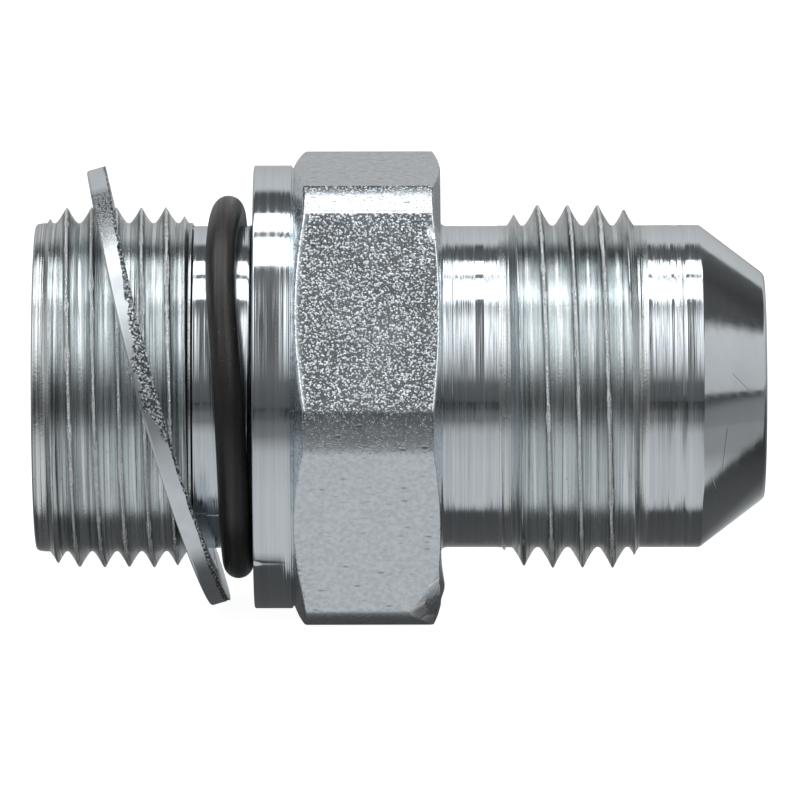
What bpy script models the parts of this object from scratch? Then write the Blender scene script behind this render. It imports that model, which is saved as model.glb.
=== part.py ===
"""A straight hydraulic adapter, lying on one flat of its hexagon.

From left to right along X: a parallel metric stud with its O-ring and a loose
retaining ring, a round collar, a hexagon, and a threaded end with a flare cone.
Lengths below are in millimetres, and the objects are in metres.
"""
import math
from collections import namedtuple
from itertools import pairwise

import bmesh
import bpy

MM = 0.001

# Stations along the axis
STUD_LENGTH = 13.2
COLLAR_WIDTH = 2.4
HEX_WIDTH = 8.85
FLARE_END_LENGTH = 19.55
STUD_NECK_LENGTH = 3.7
FLARE_NECK_LENGTH = 3.35
FLARE_LAND_LENGTH = 3.1
BODY_LENGTH = STUD_LENGTH + COLLAR_WIDTH + HEX_WIDTH + FLARE_END_LENGTH
COLLAR_START = STUD_LENGTH
HEX_START = COLLAR_START + COLLAR_WIDTH
HEX_END = HEX_START + HEX_WIDTH

# Threads: V form, right-hand, with a ridge that grows out of the root and fades back into it
Thread = namedtuple("Thread", "pitch crest_diameter runout_turns start_angle")
STUD_THREAD_PITCH = 1.5
STUD_THREAD_DIAMETER = 21.8
FLARE_THREAD_PITCH = 25.4 / 14
FLARE_THREAD_DIAMETER = 22.0
STUD_THREAD = Thread(STUD_THREAD_PITCH, STUD_THREAD_DIAMETER, runout_turns=1.1, start_angle=330.0)
FLARE_THREAD = Thread(FLARE_THREAD_PITCH, FLARE_THREAD_DIAMETER, runout_turns=1.35, start_angle=180.0)
DEPTH_PER_PITCH = 0.64
CREST_FLAT_PER_PITCH = 1 / 8
ROOT_FLAT_PER_PITCH = 1 / 8
THREAD_END_LAND = 0.1

# Port shoulder outside the stud thread, and the flats that stand just outside the collar
PORT_SHOULDER_WIDTH = 2.5
COLLAR_INSET = 0.05
COLLAR_DIAMETER = STUD_THREAD_DIAMETER + 2 * PORT_SHOULDER_WIDTH
HEX_ACROSS_FLATS = COLLAR_DIAMETER + COLLAR_INSET

# Hexagon, whose sharp corners are turned off
HEX_CORNER_CUT = 1.4
HEX_SHOULDER_STEP = 0.45
HEX_COLLAR_SIDE_CHAMFER = 22.0
HEX_FLARE_SIDE_CHAMFER = 16.0
HEX_SHARP_DIAMETER = HEX_ACROSS_FLATS / math.cos(math.radians(30))
HEX_CORNER_DIAMETER = HEX_SHARP_DIAMETER - HEX_CORNER_CUT

# Bore and turned diameters
BORE_DIAMETER = 12.3
STUD_NECK_DIAMETER = 19.5
FLARE_NECK_DIAMETER = 19.45
FLARE_LAND_DIAMETER = 19.5
NOSE_WALL = 0.65

# Cone, edges and fillets
FLARE_CONE_ANGLE = 37.0
STUD_END_RADIUS = 0.45
COLLAR_EDGE_BREAK = 0.18
NECK_FILLET = 0.35
NECK_STEP_LENGTH = 0.12
NOSE_EDGE_BREAK = 0.2
STUD_BORE_CHAMFER = 0.5
NOSE_BORE_CHAMFER = 0.2
BURIED_OVERLAP = 1.0

# O-ring, seated in the stud neck and leaning on the collar
O_RING_SECTION = 1.78
O_RING_TILT = 2.1
O_RING_YAW = 1.6
SEAT_CLEARANCE = 0.1

# Retaining ring, loose over the stud thread and a little larger than the collar
RETAINING_RING_OVERHANG = 0.27
RETAINING_RING_THICKNESS = 1.15
RETAINING_RING_STANDOFF = 0.36
RETAINING_RING_TILT = 15.6
RETAINING_RING_YAW = -2.0
RETAINING_RING_ROLL_EDGE = 0.3
RETAINING_RING_BURR_EDGE = 0.06

# Dent struck into one corner of the hexagon, at its flare side
DENT_CORNER_ANGLE = 240.0
DENT_RADIUS = 2.6
DENT_DEPTH = 0.55
DENT_SPREAD = 0.35

# Fineness of the round surfaces
ROUND_STEPS = 48
O_RING_SECTION_STEPS = 12
FILLET_STEPS = 3
SHARP_EDGE_ANGLE = 28.0


def clear_scene():
    for item in list(bpy.data.objects):
        bpy.data.objects.remove(item)


def circle(bm, x, radius, steps=ROUND_STEPS, turn=0):
    """One circle of points round the X axis, counted from +Y towards +Z, turned by a share of a step."""
    angles = [math.tau * (step + turn) / steps for step in range(steps)]
    return [bm.verts.new((x, radius * math.cos(a), radius * math.sin(a))) for a in angles]


def bridge(bm, near, far):
    """A band of faces between two circles with as many points."""
    count = len(near)
    for step in range(count):
        following = (step + 1) % count
        bm.faces.new((near[step], near[following], far[following], far[step]))


def turned_skin(bm, stations, turn=0):
    """Circles at each (x, radius) station, with a band between neighbours."""
    circles = [circle(bm, x, radius, turn=turn) for x, radius in stations]
    for near, far in pairwise(circles):
        bridge(bm, near, far)
    return circles


def arc(centre_x, centre_r, radius, start, end, steps=FILLET_STEPS):
    """Stations along an arc of the section, its angles in degrees from +X."""
    angles = [math.radians(start + (end - start) * step / steps) for step in range(steps + 1)]
    return [(centre_x + radius * math.cos(a), centre_r + radius * math.sin(a)) for a in angles]


def thread_root(thread):
    return thread.crest_diameter / 2 - DEPTH_PER_PITCH * thread.pitch


def ridge_section(bm, thread, centre, angle, height, anchor_side):
    """Foot, two crest corners and foot of the ridge, shrunk towards one of its feet."""
    half_base = (1 - ROOT_FLAT_PER_PITCH) * thread.pitch / 2
    half_crest = CREST_FLAT_PER_PITCH * thread.pitch / 2
    root = thread_root(thread)
    crest = root + height * (thread.crest_diameter / 2 - root)
    anchor = anchor_side * half_base
    corners = ((-half_base, root), (-half_crest, crest), (half_crest, crest), (half_base, root))
    if height == 0:
        corners = ((anchor, root),)
    points = []
    for offset, radius in corners:
        x = centre + anchor + height * (offset - anchor)
        points.append(bm.verts.new((x, radius * math.cos(angle), radius * math.sin(angle))))
    return points if height else points * 4


def face(bm, corners):
    """A face through the corners, each taken once."""
    bm.faces.new(list(dict.fromkeys(corners)))


def threaded_skin(bm, near, far, thread):
    """Close the surface between two root circles with the root and one helical ridge."""
    begin = near[0].co.x + THREAD_END_LAND
    end = far[0].co.x - THREAD_END_LAND
    base = (1 - ROOT_FLAT_PER_PITCH) * thread.pitch
    first_step = round(thread.start_angle / 360 * ROUND_STEPS)
    advance = thread.pitch / ROUND_STEPS
    count = round((end - begin + base) / advance)
    ramp = thread.runout_turns * ROUND_STEPS
    sections = []
    for step in range(count + 1):
        height = min(1, step / ramp, (count - step) / ramp)
        anchor_side = 1 if step < count / 2 else -1
        angle = math.tau * (first_step + step) / ROUND_STEPS
        centre = begin - base / 2 + advance * step
        sections.append(ridge_section(bm, thread, centre, angle, height, anchor_side))
    for here, there in pairwise(sections):
        for left in range(3):
            face(bm, (here[left], here[left + 1], there[left + 1], there[left]))
    for step in range(count - ROUND_STEPS):
        later = step + ROUND_STEPS
        face(bm, (sections[step][3], sections[later][0], sections[later + 1][0], sections[step + 1][3]))
    close_thread_start(bm, near, sections, first_step)
    close_thread_end(bm, far, sections, first_step)


def close_thread_start(bm, near, sections, first_step):
    """Root between the near circle and the first turn of the ridge."""
    for step in range(ROUND_STEPS):
        here = near[(first_step + step) % ROUND_STEPS]
        there = near[(first_step + step + 1) % ROUND_STEPS]
        corners = [here, there, sections[step + 1][0], sections[step][0]]
        if step == ROUND_STEPS - 1:
            corners.insert(2, sections[0][0])
        face(bm, corners)


def close_thread_end(bm, far, sections, first_step):
    """Root between the last turn of the ridge and the far circle."""
    last = len(sections) - 1
    for step in range(last - ROUND_STEPS, last):
        here = far[(first_step + step) % ROUND_STEPS]
        there = far[(first_step + step + 1) % ROUND_STEPS]
        corners = [sections[step][3], sections[step + 1][3], there, here]
        if step == last - ROUND_STEPS:
            corners.append(sections[last][0])
        face(bm, corners)


def stud_end_stations():
    """From the bore mouth over the end face to the first thread root."""
    bore = BORE_DIAMETER / 2
    edge_centre = thread_root(STUD_THREAD) - STUD_END_RADIUS
    return [
        (STUD_BORE_CHAMFER, bore),
        (0, bore + STUD_BORE_CHAMFER),
        *arc(STUD_END_RADIUS, edge_centre, STUD_END_RADIUS, 180, 90),
    ]


def middle_stations():
    """From the last root of the stud thread to the first root of the flare thread."""
    stud_neck = STUD_NECK_DIAMETER / 2
    stud_neck_start = COLLAR_START - STUD_NECK_LENGTH
    collar = COLLAR_DIAMETER / 2
    flare_neck = FLARE_NECK_DIAMETER / 2
    flare_neck_end = HEX_END + FLARE_NECK_LENGTH
    neck_corner = arc(COLLAR_START - NECK_FILLET, stud_neck + NECK_FILLET, NECK_FILLET, 270, 360)
    buried_start = HEX_START + BURIED_OVERLAP
    return [
        (stud_neck_start, thread_root(STUD_THREAD)),
        (stud_neck_start + NECK_STEP_LENGTH, stud_neck),
        *neck_corner,
        (COLLAR_START, collar - COLLAR_EDGE_BREAK),
        (COLLAR_START + COLLAR_EDGE_BREAK, collar),
        (buried_start, collar),
        (buried_start, flare_neck + NECK_FILLET),
        (HEX_END - NECK_FILLET / 2, flare_neck + NECK_FILLET),
        (HEX_END + NECK_FILLET / 2, flare_neck),
        (flare_neck_end, flare_neck),
        (flare_neck_end + NECK_STEP_LENGTH, thread_root(FLARE_THREAD)),
    ]


def nose_stations():
    """From the last root of the flare thread over the land and the cone to the bore mouth."""
    bore = BORE_DIAMETER / 2
    land = FLARE_LAND_DIAMETER / 2
    nose = bore + NOSE_WALL
    cone_length = (land - nose) / math.tan(math.radians(FLARE_CONE_ANGLE))
    cone_start = BODY_LENGTH - cone_length
    land_start = cone_start - FLARE_LAND_LENGTH
    cone_end = BODY_LENGTH - NOSE_EDGE_BREAK
    cone_end_radius = nose + NOSE_EDGE_BREAK * math.tan(math.radians(FLARE_CONE_ANGLE))
    return [
        (land_start - NECK_STEP_LENGTH, thread_root(FLARE_THREAD)),
        (land_start, land),
        (cone_start, land),
        (cone_end, cone_end_radius),
        (BODY_LENGTH, nose - NOSE_EDGE_BREAK / 2),
        (BODY_LENGTH, bore + NOSE_BORE_CHAMFER),
        (BODY_LENGTH - NOSE_BORE_CHAMFER, bore),
    ]


def add_object(name, bm, material, parent=None):
    """Turn the millimetre mesh into an object in metres, closed and facing out."""
    bmesh.ops.recalc_face_normals(bm, faces=bm.faces)
    bmesh.ops.scale(bm, vec=(MM, MM, MM), verts=bm.verts)
    mesh = bpy.data.meshes.new(name)
    bm.to_mesh(mesh)
    bm.free()
    mesh.shade_smooth()
    mesh.set_sharp_from_angle(angle=math.radians(SHARP_EDGE_ANGLE))
    item = bpy.data.objects.new(name, mesh)
    bpy.context.collection.objects.link(item)
    item.parent = parent
    if material:
        mesh.materials.append(material)
    return item


def make_guide(item):
    item.hide_render = True
    item.display_type = "WIRE"


def add_boolean(item, operation, other):
    boolean = item.modifiers.new(other.name, "BOOLEAN")
    boolean.operation = operation
    boolean.solver = "EXACT"
    boolean.object = other


def material(name, colour, metallic, roughness):
    finish = bpy.data.materials.new(name)
    finish.use_nodes = True
    shader = finish.node_tree.nodes["Principled BSDF"]
    shader.inputs["Base Color"].default_value = (*colour, 1)
    shader.inputs["Metallic"].default_value = metallic
    shader.inputs["Roughness"].default_value = roughness
    return finish


def make_hex_form(parent):
    """Hexagonal bar that gives the flats, one of them straight down."""
    bm = bmesh.new()
    near = circle(bm, HEX_START - BURIED_OVERLAP, HEX_SHARP_DIAMETER / 2, 6)
    far = circle(bm, HEX_END + BURIED_OVERLAP, HEX_SHARP_DIAMETER / 2, 6)
    bridge(bm, near, far)
    bm.faces.new(near)
    bm.faces.new(far)
    hex_form = add_object("hex_form", bm, None, parent)
    make_guide(hex_form)
    return hex_form


def make_hex_blank(parent, hex_form):
    """Turned blank with a chamfer at each end, cut to the hexagon.

    It is turned half a step, so that its edges cross those of the collar cleanly.
    """
    core = (BORE_DIAMETER + FLARE_NECK_DIAMETER) / 4
    shoulder = (HEX_ACROSS_FLATS - HEX_SHOULDER_STEP) / 2
    corner = HEX_CORNER_DIAMETER / 2
    collar_side = (corner - shoulder) * math.tan(math.radians(HEX_COLLAR_SIDE_CHAMFER))
    flare_side = (corner - shoulder) * math.tan(math.radians(HEX_FLARE_SIDE_CHAMFER))
    bm = bmesh.new()
    circles = turned_skin(bm, [
        (HEX_START, core),
        (HEX_START, shoulder),
        (HEX_START + collar_side, corner),
        (HEX_END - flare_side, corner),
        (HEX_END, shoulder),
        (HEX_END, core),
    ], turn=0.5)
    bridge(bm, circles[-1], circles[0])
    blank = add_object("hex_blank", bm, None, parent)
    add_boolean(blank, "INTERSECT", hex_form)
    make_guide(blank)
    return blank


def make_dent_tool(parent):
    """Blunt faceted point whose bite leaves the dent in the lower front corner."""
    corner_angle = math.radians(DENT_CORNER_ANGLE)
    reach = HEX_CORNER_DIAMETER / 2 + DENT_RADIUS - DENT_DEPTH
    bm = bmesh.new()
    bmesh.ops.create_icosphere(bm, subdivisions=1, radius=DENT_RADIUS)
    place = (HEX_END - DENT_SPREAD, reach * math.cos(corner_angle), reach * math.sin(corner_angle))
    bmesh.ops.translate(bm, vec=place, verts=bm.verts)
    tool = add_object("dent_tool", bm, None, parent)
    make_guide(tool)
    return tool


def make_connector_body(parent):
    bm = bmesh.new()
    stud = turned_skin(bm, stud_end_stations())
    middle = turned_skin(bm, middle_stations())
    nose = turned_skin(bm, nose_stations())
    threaded_skin(bm, stud[-1], middle[0], STUD_THREAD)
    threaded_skin(bm, middle[-1], nose[0], FLARE_THREAD)
    bridge(bm, nose[-1], stud[0])
    plating = material("zinc_plating", (0.56, 0.59, 0.61), 1.0, 0.28)
    body = add_object("connector_body", bm, plating, parent)
    add_boolean(body, "UNION", make_hex_blank(parent, make_hex_form(parent)))
    add_boolean(body, "DIFFERENCE", make_dent_tool(parent))
    return body


def lean_of(tilt, yaw):
    """Angle between a tilted ring's own axis and the fitting's axis, from degrees."""
    return math.acos(math.cos(math.radians(tilt)) * math.cos(math.radians(yaw)))


def o_ring_seat():
    """Radius of the O-ring's centre line, its station on the axis and its sideways reach."""
    lean = lean_of(O_RING_TILT, O_RING_YAW)
    centre_line = (STUD_NECK_DIAMETER / 2 + SEAT_CLEARANCE + O_RING_SECTION / 2) / math.cos(lean)
    reach = centre_line * math.sin(lean)
    position = COLLAR_START - SEAT_CLEARANCE - O_RING_SECTION / 2 - reach
    return centre_line, position, reach


def make_o_ring(parent):
    """Torus stretched round the neck, tilted until it leans on the collar."""
    centre_line, position, _ = o_ring_seat()
    stations = arc(0, centre_line, O_RING_SECTION / 2, 0, 360, O_RING_SECTION_STEPS)[:-1]
    bm = bmesh.new()
    circles = turned_skin(bm, stations)
    bridge(bm, circles[-1], circles[0])
    rubber = material("black_rubber", (0.018, 0.018, 0.02), 0.0, 0.45)
    o_ring = add_object("o_ring", bm, rubber, parent)
    o_ring.location = (position * MM, 0, 0)
    o_ring.rotation_euler = (0, math.radians(-O_RING_TILT), math.radians(-O_RING_YAW))
    return o_ring


def make_retaining_ring(parent):
    """Flat sheared ring that clears the thread crests at its tilt, its low side next to the O-ring."""
    lean = lean_of(RETAINING_RING_TILT, RETAINING_RING_YAW)
    half = RETAINING_RING_THICKNESS / 2
    crest = STUD_THREAD.crest_diameter / 2
    inner = (crest + SEAT_CLEARANCE + half * math.sin(lean)) / math.cos(lean)
    outer = COLLAR_DIAMETER / 2 + RETAINING_RING_OVERHANG
    roll = RETAINING_RING_ROLL_EDGE
    burr = RETAINING_RING_BURR_EDGE
    bm = bmesh.new()
    circles = turned_skin(bm, [
        (half, inner),
        (-half, inner),
        *reversed(arc(roll - half, outer - roll, roll, 90, 180)),
        (half - burr, outer),
        (half, outer - burr),
    ])
    bridge(bm, circles[-1], circles[0])
    sheared = material("sheared_steel", (0.5, 0.53, 0.54), 1.0, 0.35)
    ring = add_object("retaining_ring", bm, sheared, parent)
    _, o_ring_position, o_ring_reach = o_ring_seat()
    o_ring_side = o_ring_position + o_ring_reach - O_RING_SECTION / 2
    position = o_ring_side - RETAINING_RING_STANDOFF - inner * math.sin(lean) - half * math.cos(lean)
    ring.location = (position * MM, 0, 0)
    ring.rotation_euler = (0, math.radians(-RETAINING_RING_TILT), math.radians(-RETAINING_RING_YAW))
    return ring


def main():
    clear_scene()
    axis = bpy.data.objects.new("fitting_axis", None)
    bpy.context.collection.objects.link(axis)
    axis.location = (-BODY_LENGTH / 2 * MM, 0, HEX_ACROSS_FLATS / 2 * MM)
    make_connector_body(axis)
    make_o_ring(axis)
    make_retaining_ring(axis)


main()
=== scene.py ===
import math

import bmesh
import bpy
import numpy as np
from mathutils import Matrix, Vector


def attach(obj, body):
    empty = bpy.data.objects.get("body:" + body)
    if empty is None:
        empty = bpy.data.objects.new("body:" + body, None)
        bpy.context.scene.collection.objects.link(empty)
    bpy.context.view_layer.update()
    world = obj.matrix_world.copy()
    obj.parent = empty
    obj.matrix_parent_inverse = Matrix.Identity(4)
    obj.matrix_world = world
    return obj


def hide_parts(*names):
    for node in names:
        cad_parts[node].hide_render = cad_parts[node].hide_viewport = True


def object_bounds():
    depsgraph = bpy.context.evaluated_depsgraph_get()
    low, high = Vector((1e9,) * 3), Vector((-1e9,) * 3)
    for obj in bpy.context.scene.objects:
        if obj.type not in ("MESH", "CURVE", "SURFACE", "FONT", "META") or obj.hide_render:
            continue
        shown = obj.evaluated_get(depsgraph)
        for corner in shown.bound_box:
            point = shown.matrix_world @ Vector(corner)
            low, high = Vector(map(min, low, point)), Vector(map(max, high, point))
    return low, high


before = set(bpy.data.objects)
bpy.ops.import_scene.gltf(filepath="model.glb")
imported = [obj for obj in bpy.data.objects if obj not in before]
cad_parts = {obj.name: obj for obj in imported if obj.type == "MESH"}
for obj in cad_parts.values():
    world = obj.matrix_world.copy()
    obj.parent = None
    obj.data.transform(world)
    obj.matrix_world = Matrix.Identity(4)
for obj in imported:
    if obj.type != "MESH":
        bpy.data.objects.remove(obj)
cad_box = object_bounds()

MM = 0.001

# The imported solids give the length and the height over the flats, and the fitting lies on a flat
BODY_LENGTH = round((cad_box[1][0] - cad_box[0][0]) / MM, 3)
HEX_FLAT_RADIUS = round(cad_box[1][2] / MM / 2, 4)
AXIS_HEIGHT = HEX_FLAT_RADIUS

# The other sizes, in millimetres from the stud's end face and from the axis
BORE_RADIUS = 6.15
BORE_RING_DEPTH = 3.0
STUD_THREAD_END = 9.5
NECK_RADIUS = 9.75
COLLAR_START = 13.2
COLLAR_END = 15.5
COLLAR_RADIUS = 13.4
HEX_START = 15.6
HEX_END = 24.45
HEX_CORNER_RADIUS = 14.8
HEX_EDGE_SOFTNESS = 0.03
HEX_SIDES = 6
SIDE_ANGLE = 360 / HEX_SIDES
# Radius of the round face left on each side of the hexagon, slope in degrees of the corners turned
# off there, and width of the near face's edge
NEAR_FACE_RADIUS = 13.25
NEAR_CHAMFER_ANGLE = 22
FAR_FACE_RADIUS = 13.2
FAR_CHAMFER_ANGLE = 16
FACE_EDGE = 0.02
FLARE_NECK_RADIUS = 9.725
FLARE_THREAD_START = 27.92
LAND_START = 36.99
LAND_RADIUS = 9.75
CONE_START = 40.085
NOSE_RADIUS = 6.8
# Length of the step between a thread's root and the plain steel beside it
ROOT_STEP = 0.12
# Fillets of the two necks: distance from the shoulder, and rise over the neck
STUD_NECK_FILLET = ((0.35, 0), (0.25, 0.014), (0.11, 0.09), (0.03, 0.2))
FLARE_NECK_FILLET = ((0.03, 0.2), (0.11, 0.08), (0.25, 0.014), (0.4, 0))

FINISHES = ("turned", "thread", "hexagon", "faces", "bore", "cone", "dented")


# Skins

class Skin:
    """Points and faces of one closed piece, gathered ring by ring."""

    def __init__(self):
        self.blocks = []
        self.faces = []
        self.face_finishes = []
        self.size = 0

    def add_points(self, x, angle, radius):
        block = np.stack(np.broadcast_arrays(x, angle, radius), axis=-1).astype(float)
        self.blocks.append(block.reshape(-1, 3))
        first = self.size
        self.size += len(self.blocks[-1])
        return np.arange(first, self.size).reshape(block.shape[:-1])

    def add_face(self, corners, finish):
        corners = tuple(dict.fromkeys(int(corner) for corner in corners))
        if len(corners) > 2:
            self.faces.append(corners)
            self.face_finishes.append(finish)

    def add_band(self, near, far, finish):
        """Faces between two closed rings with as many points."""
        count = len(near)
        for step in range(count):
            after = (step + 1) % count
            self.add_face((near[step], near[after], far[after], far[step]), finish)

    def points(self):
        return np.concatenate(self.blocks)


NOISE_ORDERS = 6


def noise(angle, x, seed):
    """Smooth waves round the axis that never repeat along it, between about -1 and 1."""
    total = 0
    for order in range(1, NOISE_ORDERS + 1):
        turns = seed % 5 + 3 * order
        total = total + np.sin(turns * angle + 2.3 * order * x + seed * order) / order
    return total / 2


def hexagon_radius(angle):
    """Distance from the axis to the hexagon, whose corners are turned off."""
    from_flat = angle % math.radians(SIDE_ANGLE) - math.radians(SIDE_ANGLE / 2)
    flat = HEX_FLAT_RADIUS / np.cos(from_flat)
    nearness = np.exp(-(flat - HEX_CORNER_RADIUS) / HEX_EDGE_SOFTNESS)
    return HEX_CORNER_RADIUS - HEX_EDGE_SOFTNESS * np.log1p(nearness)


# Angles in degrees where the columns stand close: from, to and apart, at the dent and at the chip
CLOSE_COLUMNS = ((218, 250, 0.4), (125, 133, 0.6))


def column_angles():
    """Angles of the body's columns: close at the hexagon's edges and at the dent."""
    flat_edge = math.degrees(math.acos(HEX_FLAT_RADIUS / HEX_CORNER_RADIUS))
    across_edge = flat_edge + np.array([-0.6, -0.25, -0.08, 0.08, 0.25, 0.6])
    half = np.concatenate([np.arange(1, 24, 2), across_edge, [26.5, 27.7, 28.9]])
    sector = np.concatenate([-half[::-1], half])
    angles = np.concatenate([sector + SIDE_ANGLE * (side + 0.5) for side in range(HEX_SIDES)])
    for start, stop, step in CLOSE_COLUMNS:
        angles = angles[(angles < start) | (angles > stop)]
        angles = np.concatenate([angles, np.arange(start, stop, step)])
    return np.radians(np.sort(angles))


def rounded(stations):
    """Rings of a section whose corners are rounded off.

    A station is (x, radius, size of its curve, finish up to the next station).
    """
    rings = []
    for index, (x, radius, curve, finish) in enumerate(stations):
        here = np.stack(np.broadcast_arrays(x, radius), axis=-1)
        if not curve:
            rings.append((here[..., 0], here[..., 1], finish))
            continue
        before = np.stack(np.broadcast_arrays(*stations[index - 1][:2]), axis=-1)
        after = np.stack(np.broadcast_arrays(*stations[index + 1][:2]), axis=-1)
        start = here + curve * unit(before - here)
        end = here + curve * unit(after - here)
        for share in (0, 0.3, 0.7, 1):
            point = (1 - share) ** 2 * start + 2 * share * (1 - share) * here + share ** 2 * end
            ring_finish = finish if share > 0.4 else stations[index - 1][3]
            rings.append((point[..., 0], point[..., 1], ring_finish))
    return rings


def unit(vectors):
    """The vectors at a length of one."""
    return vectors / np.maximum(np.linalg.norm(vectors, axis=-1, keepdims=True), 1e-9)


def add_rings(skin, columns, rings):
    """Lay the rings as bands and return the first and the last one."""
    first = near = None
    near_finish = None
    for x, radius, finish in rings:
        far = skin.add_points(x, columns, radius)
        if near is None:
            first = far
        else:
            skin.add_band(near, far, near_finish)
        near, near_finish = far, finish
    return first, near


# Threads

# Section of the ridge: offset from its middle and height, as shares of pitch and depth
RIDGE_OFFSETS = np.array([-0.46, -0.40, -0.31, -0.16, -0.03, 0.0, 0.03, 0.16, 0.31, 0.40, 0.46])
RIDGE_HEIGHTS = np.array([0, 0.06, 0.24, 0.60, 0.96, 0.985, 0.97, 0.60, 0.24, 0.06, 0])
# Share of each point in the crest's waves
CREST_SHARE = np.array([0, 0, 0.1, 0.5, 1, 1, 1, 0.5, 0.1, 0, 0])
# Plain root left between the ridge and the rings at its ends
THREAD_SETBACK = 0.1


def add_thread(skin, columns, near, far, pitch, root, crest, start_angle, runout_turns,
               waviness):
    """One helical ridge and the root beside it, between two rings of the root's radius."""
    points = skin.points()
    begin = points[near[0], 0] + THREAD_SETBACK
    end = points[far[0], 0] - THREAD_SETBACK
    count = len(columns)
    base = 2 * RIDGE_OFFSETS[-1] * pitch
    first_column = int(np.argmin(abs(columns - math.radians(start_angle))))
    turned = np.concatenate([columns + math.tau * turn for turn in range(12)])[first_column:]
    turned = turned - turned[0]
    steps = int(np.searchsorted(turned, (end - begin + base) / pitch * math.tau))
    turned = turned[:steps + 1]
    angle = columns[(first_column + np.arange(steps + 1)) % count]
    ramp = runout_turns * math.tau
    height = np.clip(np.minimum(turned, turned[-1] - turned) / ramp, 0, 1)
    side = np.where(np.arange(steps + 1) < steps / 2, 1, -1) * base / 2
    middle = begin - base / 2 + pitch * turned / math.tau
    sway = 0.5 * waviness * np.outer(noise(angle, middle, 3), CREST_SHARE)
    offset = RIDGE_OFFSETS * pitch + sway
    x = (middle + side)[:, None] + height[:, None] * (offset - side[:, None])
    depth = (crest - root) * RIDGE_HEIGHTS
    lift = waviness * np.outer(noise(angle, middle, 7), CREST_SHARE)
    radius = root + height[:, None] * np.minimum(depth + lift, crest - root)
    ridge = skin.add_points(x, angle[:, None], radius)
    ridge[0] = ridge[0, 0]
    ridge[-1] = ridge[-1, 0]
    for step in range(steps):
        for place in range(len(RIDGE_OFFSETS) - 1):
            skin.add_face((ridge[step, place], ridge[step, place + 1],
                           ridge[step + 1, place + 1], ridge[step + 1, place]), "thread")
    for step in range(steps - count):
        skin.add_face((ridge[step, -1], ridge[step + count, 0],
                       ridge[step + count + 1, 0], ridge[step + 1, -1]), "thread")
    for step in range(count):
        here, there = (first_column + step) % count, (first_column + step + 1) % count
        corners = [near[here], near[there], ridge[step + 1, 0], ridge[step, 0]]
        if step == count - 1:
            corners.insert(2, ridge[0, 0])
        skin.add_face(corners, "thread")
    for step in range(steps - count, steps):
        here, there = (first_column + step) % count, (first_column + step + 1) % count
        corners = [ridge[step, -1], ridge[step + 1, -1], far[there], far[here]]
        if step == steps - count:
            corners.append(ridge[-1, 0])
        skin.add_face(corners, "thread")


STUD_THREAD = dict(pitch=1.5, root=9.94, crest=10.9, start_angle=330, runout_turns=1.1,
                   waviness=0.03)
FLARE_THREAD = dict(pitch=25.4 / 14, root=9.74, crest=11.0, start_angle=180, runout_turns=1.35,
                    waviness=0.02)


# Body

# Facets of the dent in the hexagon's lower front corner: distance, angle and radius of a point
# on the rim, and the rise of the radius per millimetre along the axis and round it
DENT_FACETS = ((23.69, 227.7, 14.09, -0.542, 0.054), (22.6, 236.2, 14.8, -0.845, 0.45))
DENT_START = 21.0
DENT_ANGLE = 237
DENT_SPREAD = 15
# A face this close to the facets belongs to the dent
DENT_TOLERANCE = 0.03
# Metal that the blow pushed out past the face: its middle angle, spread and height
DENT_BULGE = (234.0, 7.0, 0.22)
BULGE_START = 22.5
BULGE_INNER_RADIUS = 12.0
BULGE_RISE = 1.2
# Small bites: distance and angle, reach along and round, depth
COLLAR_NICK = (13.2, 221.0, 0.62, 0.2, 0.2)
CHAMFER_CHIP = (24.05, 129.6, 0.4, 0.35, 0.14)


def dent_floor(x, angle):
    """Radius of the dent's facets, and no limit away from the dent."""
    floors = []
    for station, degrees, rim, along, around in DENT_FACETS:
        round_arc = (angle - math.radians(degrees)) * HEX_CORNER_RADIUS
        floors.append(rim + along * (x - station) + around * round_arc)
    beside = abs(angle - math.radians(DENT_ANGLE)) < math.radians(DENT_SPREAD)
    return np.where((x > DENT_START) & beside, np.maximum(*floors), np.inf)


def pushed_out(x, angle, radius):
    """Distance along the axis with the metal beside the dent pushed past the face."""
    middle, spread, height = DENT_BULGE
    along = np.clip((x - BULGE_START) / (HEX_END - BULGE_START), 0, 1) ** 2
    outward = np.clip((radius - BULGE_INNER_RADIUS) / BULGE_RISE, 0, 1)
    around = np.exp(-((np.degrees(angle) - middle) / spread) ** 2)
    return x + height * along * outward * around


def worn_radius(x, angle, radius):
    """Radius of the skin with the dent, the nick and the chip taken out of it."""
    radius = np.minimum(radius, dent_floor(x, angle))
    for station, degrees, reach_along, reach_round, depth in (COLLAR_NICK, CHAMFER_CHIP):
        along = (x - station) / reach_along
        around = (angle - math.radians(degrees)) * COLLAR_RADIUS / reach_round
        radius = radius - depth * np.clip(1 - np.hypot(along, around), 0, 1)
    return radius


def stud_end_rings():
    """From the bore over the stud's end face to its thread."""
    root = STUD_THREAD["root"]
    return rounded([
        (BORE_RING_DEPTH, BORE_RADIUS, 0, "bore"),
        (0.5, BORE_RADIUS, 0.08, "faces"),
        (0.0, BORE_RADIUS + 0.5, 0.06, "faces"),
        (0.0, 7.6, 0, "faces"),
        (0.0, 8.6, 0, "faces"),
        (0.0, root - 0.08, 0.22, "thread"),
        (0.5, root, 0, "thread"),
    ])


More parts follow.
